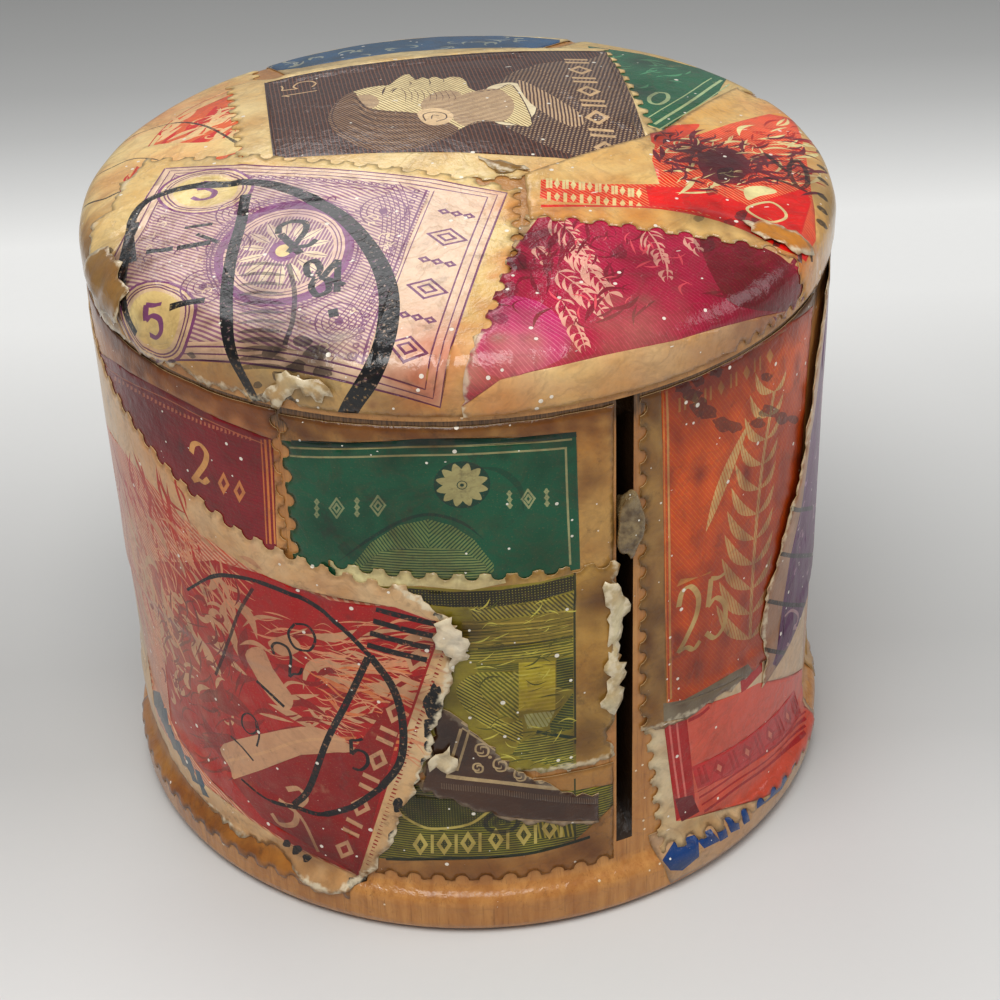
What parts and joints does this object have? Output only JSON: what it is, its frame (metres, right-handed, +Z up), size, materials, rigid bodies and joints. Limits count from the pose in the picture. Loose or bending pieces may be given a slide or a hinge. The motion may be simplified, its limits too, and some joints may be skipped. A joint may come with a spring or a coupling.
{
  "type": "stamp box",
  "caption": "Round turned-wood box for a roll of stamps, with an upright dispensing slot and a lift-off domed lid, covered in varnished used stamps.",
  "frame": {"origin": "centre of the foot, on the surface that the box stands on", "axes": "+Z up along the turning axis, -Y out through the dispensing slot, +X to the slot's right seen from the front"},
  "size_m": [0.0504, 0.0505, 0.0464],
  "materials": {
    "body": "varnished, glossy",
    "lid": "varnished, glossy",
    "varnish_bead": "dried varnish, glossy",
    "lid_stamp_blue": "printed paper under gloss varnish",
    "lid_stamp_crimson": "printed paper under gloss varnish",
    "lid_stamp_green": "printed paper under gloss varnish",
    "lid_stamp_lilac": "printed paper under gloss varnish",
    "lid_stamp_pink": "printed paper under gloss varnish",
    "lid_stamp_portrait": "printed paper under gloss varnish",
    "lid_stamp_red": "printed paper under gloss varnish",
    "lid_stamp_tan": "printed paper under gloss varnish",
    "wall_stamp_blue_base": "printed paper under gloss varnish",
    "wall_stamp_blue_scrap": "printed paper under gloss varnish",
    "wall_stamp_brown": "printed paper under gloss varnish",
    "wall_stamp_buff": "printed paper under gloss varnish",
    "wall_stamp_cocoa": "printed paper under gloss varnish",
    "wall_stamp_coral": "printed paper under gloss varnish",
    "wall_stamp_green": "printed paper under gloss varnish",
    "wall_stamp_maroon": "printed paper under gloss varnish",
    "wall_stamp_moss": "printed paper under gloss varnish",
    "wall_stamp_navy": "printed paper under gloss varnish",
    "wall_stamp_ochre": "printed paper under gloss varnish",
    "wall_stamp_olive": "printed paper under gloss varnish",
    "wall_stamp_orange": "printed paper under gloss varnish",
    "wall_stamp_plum": "printed paper under gloss varnish",
    "wall_stamp_red": "printed paper under gloss varnish",
    "wall_stamp_rose": "printed paper under gloss varnish",
    "wall_stamp_sage": "printed paper under gloss varnish",
    "wall_stamp_slate": "printed paper under gloss varnish",
    "wall_stamp_straw": "printed paper under gloss varnish",
    "wall_stamp_teal": "printed paper under gloss varnish",
    "wall_stamp_vermilion": "printed paper under gloss varnish",
    "wall_stamp_violet": "printed paper under gloss varnish"
  },
  "bodies": {
    "box": {"body": "body", "varnish_bead": "varnish_bead", "wall_stamp_blue_base": "wall_stamp_blue_base", "wall_stamp_blue_scrap": "wall_stamp_blue_scrap", "wall_stamp_brown": "wall_stamp_brown", "wall_stamp_buff": "wall_stamp_buff", "wall_stamp_cocoa": "wall_stamp_cocoa", "wall_stamp_coral": "wall_stamp_coral", "wall_stamp_green": "wall_stamp_green", "wall_stamp_maroon": "wall_stamp_maroon", "wall_stamp_moss": "wall_stamp_moss", "wall_stamp_navy": "wall_stamp_navy", "wall_stamp_ochre": "wall_stamp_ochre", "wall_stamp_olive": "wall_stamp_olive", "wall_stamp_orange": "wall_stamp_orange", "wall_stamp_plum": "wall_stamp_plum", "wall_stamp_red": "wall_stamp_red", "wall_stamp_rose": "wall_stamp_rose", "wall_stamp_sage": "wall_stamp_sage", "wall_stamp_slate": "wall_stamp_slate", "wall_stamp_straw": "wall_stamp_straw", "wall_stamp_teal": "wall_stamp_teal", "wall_stamp_vermilion": "wall_stamp_vermilion", "wall_stamp_violet": "wall_stamp_violet"},
    "lid": {"lid": "lid", "lid_stamp_blue": "lid_stamp_blue", "lid_stamp_crimson": "lid_stamp_crimson", "lid_stamp_green": "lid_stamp_green", "lid_stamp_lilac": "lid_stamp_lilac", "lid_stamp_pink": "lid_stamp_pink", "lid_stamp_portrait": "lid_stamp_portrait", "lid_stamp_red": "lid_stamp_red", "lid_stamp_tan": "lid_stamp_tan"}
  },
  "joints": [
    {"name": "lid_lift", "type": "slide", "parent": "box", "child": "lid", "axis": [0, 0, 1], "range_m": [0, 0.045]}
  ]
}
